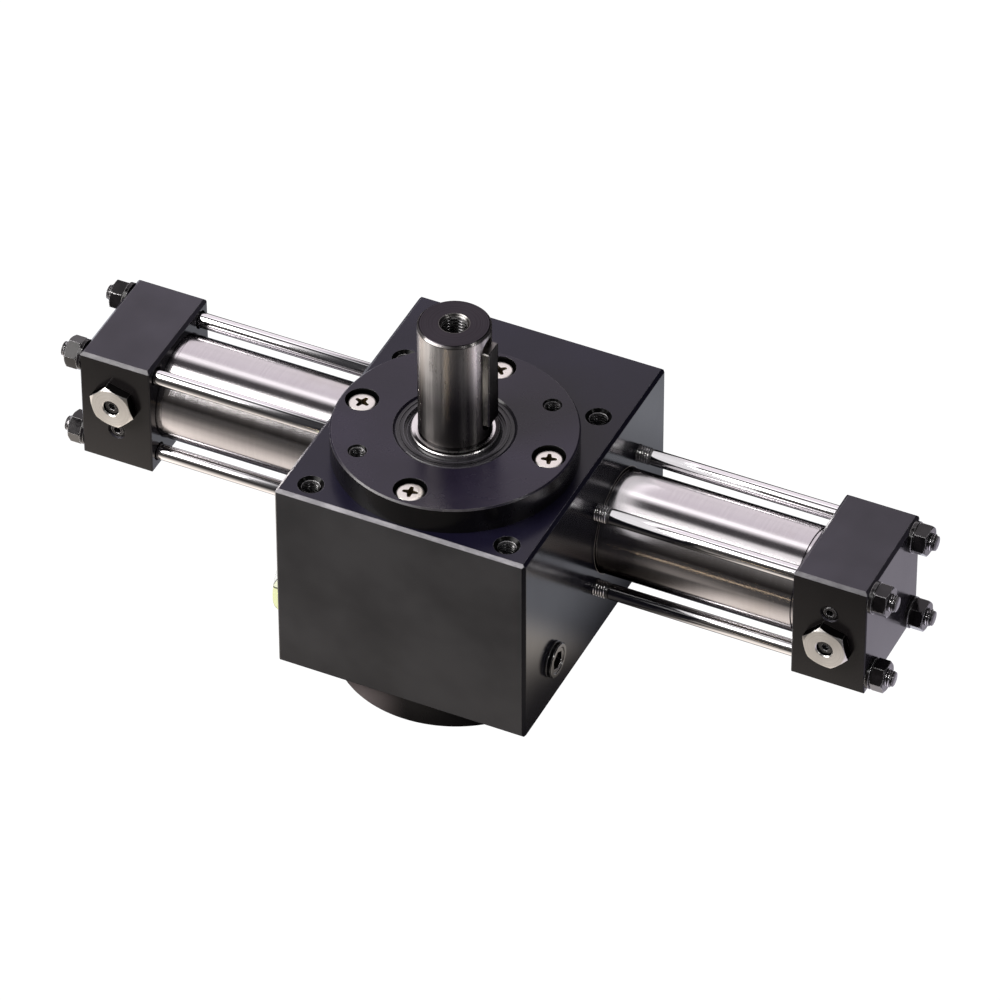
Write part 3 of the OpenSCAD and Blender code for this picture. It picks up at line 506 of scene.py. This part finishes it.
def tooth(phase):
    """Height of a thread from 0 at the root to 1 at the crest, over one pitch."""
    f = phase % 1.0
    if f < 0.10:
        return 0.0
    if f < 0.46:
        return (f - 0.10) / 0.36
    if f < 0.60:
        return 1.0
    if f < 0.96:
        return (0.96 - f) / 0.36
    return 0.0


def lathe_rings(bm, rings, place, seg, close=True):
    """rings is a list of (position, radius or function of the angle's share). place(position, radius, angle) gives the point."""
    rows = []
    for pos, rad in rings:
        row = []
        for k in range(seg):
            share = k / seg
            r = rad(share) if callable(rad) else rad
            row.append(bm.verts.new(place(pos, r, 2 * math.pi * share)))
        rows.append(row)
    for a, b in zip(rows, rows[1:]):
        for k in range(seg):
            j = (k + 1) % seg
            bm.faces.new((a[k], a[j], b[j], b[k]))
    if close:
        bm.faces.new(rows[0])
        bm.faces.new(rows[-1])
    return rows


def thread_rings(start, end, pitch, root, crest, step=6, run=1.0, offset=0.0):
    """Rings of an outside thread between two positions, with run-out at both ends over run pitches."""
    made = []
    count = max(2, int(round((end - start) / (pitch / step))))
    for i in range(count + 1):
        pos = start + (end - start) * i / count
        fade = min(1.0, (pos - start) / (run * pitch), (end - pos) / (run * pitch))
        fade = max(0.0, fade)

        def rad(share, pos=pos, fade=fade):
            return root + (crest - root) * tooth((pos - offset) / pitch - share) * fade

        made.append((pos, rad))
    return made


# ---------------------------------------------------------------- tie rods with rolled threads

def tie_rods(side):
    s = 1 if side == "right" else -1
    bm = bmesh.new()
    for y in (22.0, 76.0):
        for z in (52.0, 106.0):
            def place(pos, r, a, y=y, z=z):
                return ((s * pos) * MM, (y + r * math.cos(a)) * MM, (z + r * math.sin(a)) * MM)

            shift = 0.37 * (y + z)
            rings = [(55.0, 4.2)]
            rings += thread_rings(55.6, 82.4, 1.5, 4.18, 4.98, offset=shift)
            rings += [(82.8, 4.5), (227.0, 4.5)]
            rings += thread_rings(228.0, 249.2, 1.5, 4.18, 4.98, offset=shift, run=0.6)
            rings += [(249.9, 4.15), (250.0, 4.0)]
            lathe_rings(bm, rings, place, 36)
    # Threads: black roots and flanks, bright crests
    for f in bm.faces:
        mid = f.calc_center_median()
        if not 0.0828 < abs(mid.x) < 0.2275:
            off_axis = min(math.hypot(mid.y - y * MM, mid.z - z * MM) for y in (22.0, 76.0) for z in (52.0, 106.0))
            f.material_index = 2 if off_axis > 4.72 * MM and abs(mid.x) < 0.2495 else 1
    return add_piece(side + "_tie_rods_threaded", bm, [M["tie_rod_steel"], M["black_fasteners"], M["rod_thread"]], "body",
                     replaces=(side + "_tie_rods",), smooth=40)


tie_rods("left")
tie_rods("right")


# ---------------------------------------------------------------- threads inside tapped holes

def inside_thread(bm, x, y, z0, z1, wall, height, pitch, seg=40):
    """A closed sleeve: threaded towards the hole, plain where it is buried in the wall."""

    def place(pos, r, a):
        return ((x + r * math.cos(a)) * MM, (y + r * math.sin(a)) * MM, pos * MM)

    step = 7
    count = int(round((z1 - z0) / (pitch / step)))
    rings = []
    for i in range(count + 1):
        pos = z0 + (z1 - z0) * i / count
        fade = min(1.0, max(0.0, (z1 - pos) / (0.7 * pitch)))

        def rad(share, pos=pos, fade=fade):
            return wall + 0.04 - (height + 0.04) * tooth(pos / pitch - share) * fade

        rings.append((pos, rad))
    inner = lathe_rings(bm, rings, place, seg, close=False)
    outer = lathe_rings(bm, [(z0, wall + 0.12), (z1, wall + 0.12)], place, seg, close=False)
    for row_a, row_b in ((inner[0], outer[0]), (inner[-1], outer[-1])):
        for k in range(seg):
            j = (k + 1) % seg
            bm.faces.new((row_a[k], row_a[j], row_b[j], row_b[k]))
    crest = (wall + 0.04 - 0.86 * height) * MM
    for row_a, row_b in zip(inner, inner[1:]):
        for k in range(seg):
            face = next(f for f in row_a[k].link_faces if row_b[(k + 1) % seg] in f.verts)
            mid = face.calc_center_median()
            if math.hypot(mid.x - x * MM, mid.y - y * MM) > crest:
                face.material_index = 1


bm = bmesh.new()
for hx in (-58.0, 58.0):
    for hy in (-58.0, 58.0):
        inside_thread(bm, hx, hy, 117.0, 138.6, 5.1, 0.62, 1.75)
add_piece("mounting_hole_threads", bm, [M["hole_thread"], M["thread_root"]], "body", smooth=40)

bm = bmesh.new()
for turn in (45.0, 225.0):
    a = math.radians(turn)
    inside_thread(bm, 55.5 * math.cos(a), 55.5 * math.sin(a), 140.5, 155.1, 4.25, 0.5, 1.5)
add_piece("jacking_hole_threads", bm, [M["hole_thread"], M["thread_root"]], "body", smooth=40)

bm = bmesh.new()
inside_thread(bm, 0.0, 0.0, 194.0, 227.6, 7.0, 0.75, 2.0, seg=48)
add_piece("shaft_hole_thread", bm, [M["hole_thread"], M["thread_root"]], "shaft", smooth=40)


# ---------------------------------------------------------------- pan head screws of the top cover

def applied_boolean(obj, cutter):
    mod = obj.modifiers.new("cut", "BOOLEAN")
    mod.operation = "DIFFERENCE"
    mod.solver = "EXACT"
    mod.object = cutter
    bpy.context.view_layer.update()
    dg = bpy.context.evaluated_depsgraph_get()
    me = bpy.data.meshes.new_from_object(obj.evaluated_get(dg))
    bpy.data.objects.remove(obj)
    bpy.data.objects.remove(cutter)
    return me


def pan_screw_mesh():
    """M8 pan head screw at the origin, its seat at z 0: domed head, tapered cross recess with a round core."""
    bm = bmesh.new()

    def place(pos, r, a):
        return (r * math.cos(a), r * math.sin(a), pos)

    rings = [(-13.9, 3.3), (-13.2, 3.95)]
    rings += thread_rings(-13.0, -1.8, 1.25, 3.35, 3.97)
    rings += [(-1.2, 3.4), (-0.6, 3.97), (0.0, 3.97), (0.0, 7.4), (0.25, 7.75), (1.0, 7.95), (4.5, 7.95)]
    for i in range(1, 9):
        a = math.radians(90.0 * i / 9)
        rings.append((4.6 + 1.5 * math.sin(a), 6.45 + 1.5 * math.cos(a)))
    rings += [(6.16, 6.2), (6.2, 5.0), (6.23, 4.0), (6.25, 3.0), (6.26, 2.0), (6.27, 1.0), (6.28, 0.35)]
    lathe_rings(bm, rings, place, 64)
    bmesh.ops.recalc_face_normals(bm, faces=bm.faces)
    me = bpy.data.meshes.new("screw_blank")
    bm.to_mesh(me)
    bm.free()
    me.materials.append(M["bright_screws"])
    me.materials.append(M["screw_recess"])
    blank = bpy.data.objects.new("screw_blank", me)
    scene.collection.objects.link(blank)

    bm = bmesh.new()
    outline = []
    half, width, core = 4.35, 0.95, 1.75
    for q in range(4):
        c, s = math.cos(math.pi / 2 * q), math.sin(math.pi / 2 * q)
        arm = [(core, -width - 0.35), (half - 0.5, -width), (half, -width * 0.55), (half, width * 0.55), (half - 0.5, width), (core, width + 0.35)]
        outline += [(x * c - y * s, x * s + y * c) for x, y in arm]
    top = [bm.verts.new((x * 1.06, y * 1.06, 7.0)) for x, y in outline]
    low = [bm.verts.new((x * 0.62, y * 0.62, 2.4)) for x, y in outline]
    tip = bm.verts.new((0.0, 0.0, 1.7))
    n = len(outline)
    for k in range(n):
        j = (k + 1) % n
        bm.faces.new((low[k], low[j], top[j], top[k]))
        bm.faces.new((tip, low[j], low[k]))
    bm.faces.new(top)
    bmesh.ops.recalc_face_normals(bm, faces=bm.faces)
    cut = bpy.data.meshes.new("screw_recess")
    bm.to_mesh(cut)
    bm.free()
    cut.materials.append(M["bright_screws"])
    cut.materials.append(M["screw_recess"])
    for p in cut.polygons:
        p.material_index = 1
    cutter = bpy.data.objects.new("screw_recess", cut)
    scene.collection.objects.link(cutter)
    return applied_boolean(blank, cutter)


screw = pan_screw_mesh()
bm = bmesh.new()
for turn in (0.0, 90.0, 180.0, 270.0):
    a = math.radians(turn)
    one = screw.copy()
    spin = Matrix.Rotation(math.radians(turn * 1.3 + 20.0), 4, "Z")
    move = Matrix.Translation((55.5 * math.cos(a) * MM, 55.5 * math.sin(a) * MM, 148.0 * MM))
    one.transform(move @ Matrix.Scale(MM, 4) @ spin)
    bm.from_mesh(one)
    bpy.data.meshes.remove(one)
add_piece("top_cover_pan_screws", bm, [M["bright_screws"], M["screw_recess"]], "body",
          replaces=("top_cover_screws",), smooth=32)


# ---------------------------------------------------------------- stage: floor, world, lights

def make_floor():
    bm = bmesh.new()
    bmesh.ops.create_grid(bm, x_segments=8, y_segments=8, size=12.0)
    me = bpy.data.meshes.new("floor")
    bm.to_mesh(me)
    bm.free()
    obj = bpy.data.objects.new("floor", me)
    obj.location = (0.0, 0.0, -0.0003)
    scene.collection.objects.link(obj)
    mat = bpy.data.materials.new("floor_pale")
    mat.use_nodes = True
    mat.node_tree.nodes.clear()
    t = Tree(mat.node_tree)
    place = t.node("ShaderNodeTexCoord").outputs["Object"]
    x, y, z = t.split(place)
    # A lit pool on a dim table: how bright the table is along Y, in metres from the shaft's axis
    run = t.node("ShaderNodeValToRGB", {0: t.ramp(y, -0.4, 0.4, smooth=False)})
    cr = run.color_ramp
    cr.interpolation = "LINEAR"
    stops = [(-0.40, 0.02), (-0.214, 0.07), (-0.092, 0.27), (-0.041, 0.68), (-0.010, 1.04), (0.013, 1.28),
             (0.060, 1.20), (0.120, 1.10), (0.220, 1.00), (0.310, 0.35), (0.400, 0.03)]
    while len(cr.elements) < len(stops):
        cr.elements.new(0.5)
    for e, (q, v) in zip(cr.elements, stops):
        e.position = (q + 0.4) / 0.8
        e.color = (v, v, v, 1.0)
    pool = t.split(run.outputs[0])[0]
    # Painted shadows: the table is dark round the housing and under the barrels
    out = t.math("ABSOLUTE", x)
    shifted = t.math("SUBTRACT", x, t.ramp(y, 0.03, -0.02, 0.0, 0.014))
    beside = t.math("MAXIMUM", t.ramp(shifted, 0.074, 0.118), t.ramp(x, -0.045, -0.075))
    beside = t.math("MAXIMUM", beside, t.ramp(y, -0.070, -0.098))
    under = t.math("MULTIPLY", t.ramp(y, 0.018, 0.045), t.ramp(out, 0.22, 0.17))
    under = t.math("MULTIPLY", under, t.ramp(y, 0.26, 0.16))
    level = t.math("MULTIPLY", pool, t.fmix(beside, 0.05, 1.0))
    level = t.math("MULTIPLY", level, t.fmix(under, 1.0, t.ramp(x, -0.05, 0.05, 0.66, 0.48)))
    level = t.math("MULTIPLY", level, t.ramp(x, 0.20, 0.27, 1.0, 0.80))
    level = t.math("MULTIPLY", level, t.ramp(x, -0.18, -0.23, 1.0, 1.4))
    # Painted light: a glowing gold strip on the table, far in front on the right, seen in reflections
    gold_glow_strip = t.math("SUBTRACT", 1.0, t.ramp(t.math("ABSOLUTE", t.math("ADD", y, 0.40)), 0.008, 0.022))
    gold_glow_strip = t.math("MULTIPLY", gold_glow_strip, t.math("MULTIPLY", t.ramp(x, -0.055, -0.025), t.ramp(x, 0.075, 0.05)))
    # Painted shade: the table is darkened far in front on the right
    far_right = t.math("MULTIPLY", t.ramp(x, 0.085, 0.12), t.ramp(y, -0.112, -0.14))
    level = t.math("MULTIPLY", level, t.fmix(far_right, 1.0, 0.1))
    level = t.math("ADD", level, t.math("MULTIPLY", gold_glow_strip, 3.2))
    warm = t.mix(t.ramp(y, 0.015, 0.05), (1.0, 0.91, 0.83), (0.93, 0.95, 1.05))
    warm = t.mix(gold_glow_strip, warm, (1.0, 0.74, 0.44))
    warm = t.mix(t.ramp(x, 0.20, 0.27), warm, (0.97, 0.90, 1.04))
    diffuse = t.node("ShaderNodeBsdfDiffuse", {"Color": (0.03, 0.03, 0.03)})
    bounce = t.node("ShaderNodeEmission", {"Color": warm, "Strength": level})
    lit = t.node("ShaderNodeAddShader", {0: diffuse.outputs[0], 1: bounce.outputs[0]})
    white = t.node("ShaderNodeEmission", {"Color": (1.0, 1.0, 1.0), "Strength": 1.05})
    path = t.node("ShaderNodeLightPath")
    ray = t.math("MAXIMUM", path.outputs["Is Camera Ray"], path.outputs["Is Transmission Ray"])
    both = t.node("ShaderNodeMixShader", {0: ray, 1: lit.outputs[0], 2: white.outputs[0]})
    out = t.node("ShaderNodeOutputMaterial")
    mat.node_tree.links.new(both.outputs[0], out.inputs[0])
    me.materials.append(mat)
    return obj


make_floor()


def make_world():
    world = bpy.data.worlds.new("studio")
    scene.world = world
    world.use_nodes = True
    world.node_tree.nodes.clear()
    t = Tree(world.node_tree)
    way = t.vmath("NORMALIZE", t.node("ShaderNodeTexCoord").outputs["Generated"])
    x, y, z = t.split(way)
    # Angle round the X axis: 0 is behind the object, 90 overhead, 180 in front.
    turn = t.math("DIVIDE", t.math("ARCTAN2", z, y), math.pi)
    ramp = t.node("ShaderNodeValToRGB", {0: turn})
    cr = ramp.color_ramp
    cr.interpolation = "EASE"
    stops = [
        (0.00, (0.02, 0.02, 0.02)),
        (0.024, (0.10, 0.09, 0.10)),
        (0.044, (1.40, 1.31, 1.37)),
        (0.09, (1.14, 1.06, 1.11)),
        (0.16, (0.94, 0.87, 0.92)),
        (0.33, (0.84, 0.77, 0.83)),
        (0.385, (0.98, 0.93, 0.96)),
        (0.415, (1.10, 1.05, 1.08)),
        (0.470, (0.05, 0.045, 0.05)),
        (0.535, (0.05, 0.045, 0.05)),
        (0.575, (1.05, 1.02, 1.03)),
        (0.66, (1.10, 1.07, 1.08)),
        (0.72, (0.38, 0.37, 0.37)),
        (0.80, (0.22, 0.215, 0.215)),
        (0.86, (0.09, 0.085, 0.08)),
        (1.00, (0.015, 0.013, 0.012)),
    ]
    while len(cr.elements) < len(stops):
        cr.elements.new(0.5)
    for e, (p, c) in zip(cr.elements, stops):
        e.position = p
        e.color = (*c, 1.0)
    side = t.ramp(t.math("ABSOLUTE", x), 0.6, 0.9)
    sky = t.mix(side, ramp.outputs[0], (0.16, 0.155, 0.165))
    sky = t.mix(t.ramp(x, -0.1, 0.14), sky, (0.035, 0.034, 0.037))
    lit = t.node("ShaderNodeBackground", {"Color": sky, "Strength": 1.0})
    white = t.node("ShaderNodeBackground", {"Color": (1.0, 1.0, 1.0), "Strength": 1.0})
    path = t.node("ShaderNodeLightPath")
    ray = t.math("MAXIMUM", path.outputs["Is Camera Ray"], path.outputs["Is Transmission Ray"])
    both = t.node("ShaderNodeMixShader", {0: ray, 1: lit.outputs[0], 2: white.outputs[0]})
    out = t.node("ShaderNodeOutputWorld")
    world.node_tree.links.new(both.outputs[0], out.inputs[0])


make_world()


def softbox(name, azimuth, elevation, distance, width, height, radiance, colour, aim=(0.0, 0.0, 0.08)):
    """A rectangular area light that faces aim. Radiance is what a mirror shows of it."""
    data = bpy.data.lights.new(name, "AREA")
    data.shape = "RECTANGLE"
    data.size = width
    data.size_y = height
    data.energy = radiance * math.pi * width * height
    data.color = colour
    obj = bpy.data.objects.new(name, data)
    a, e = math.radians(azimuth), math.radians(elevation)
    way = Vector((math.cos(a) * math.cos(e), math.sin(a) * math.cos(e), math.sin(e)))
    obj.location = Vector(aim) + way * distance
    obj.rotation_mode = "QUATERNION"
    obj.rotation_quaternion = way.to_track_quat("Z", "Y")
    obj.visible_camera = False
    scene.collection.objects.link(obj)
    return obj


softbox("key_softbox", -142.0, 48.0, 1.6, 0.75, 0.75, 7.0, (1.0, 0.975, 0.955))
softbox("left_strip", -144.0, 21.0, 1.5, 0.72, 0.56, 12.0, (1.0, 0.975, 0.955), aim=(0.0, 0.0, 0.16))
softbox("front_softbox", -114.0, 43.0, 1.9, 0.6, 0.42, 4.0, (1.0, 0.99, 1.0))
softbox("glint_softbox", -38.0, 31.0, 1.8, 0.3, 0.3, 6.0, (1.0, 0.99, 0.98))
softbox("right_strip", -6.0, 22.0, 1.6, 0.06, 1.2, 16.0, (1.0, 0.99, 0.98), aim=(0.0, 0.0, 0.16))
softbox("top_softbox", 90.0, 70.0, 2.0, 2.0, 0.3, 0.6, (1.0, 0.98, 1.0))
# A low card beside the housing keeps its shadow out of the right barrel and the rods
softbox("side_card", 0.0, 0.0, 0.0765, 0.150, 0.032, 0.75, (1.0, 0.975, 0.99), aim=(0.0, 0.030, 0.129)).rotation_quaternion = Vector((-1.0, 0.0, 0.0)).to_track_quat("Z", "Y")
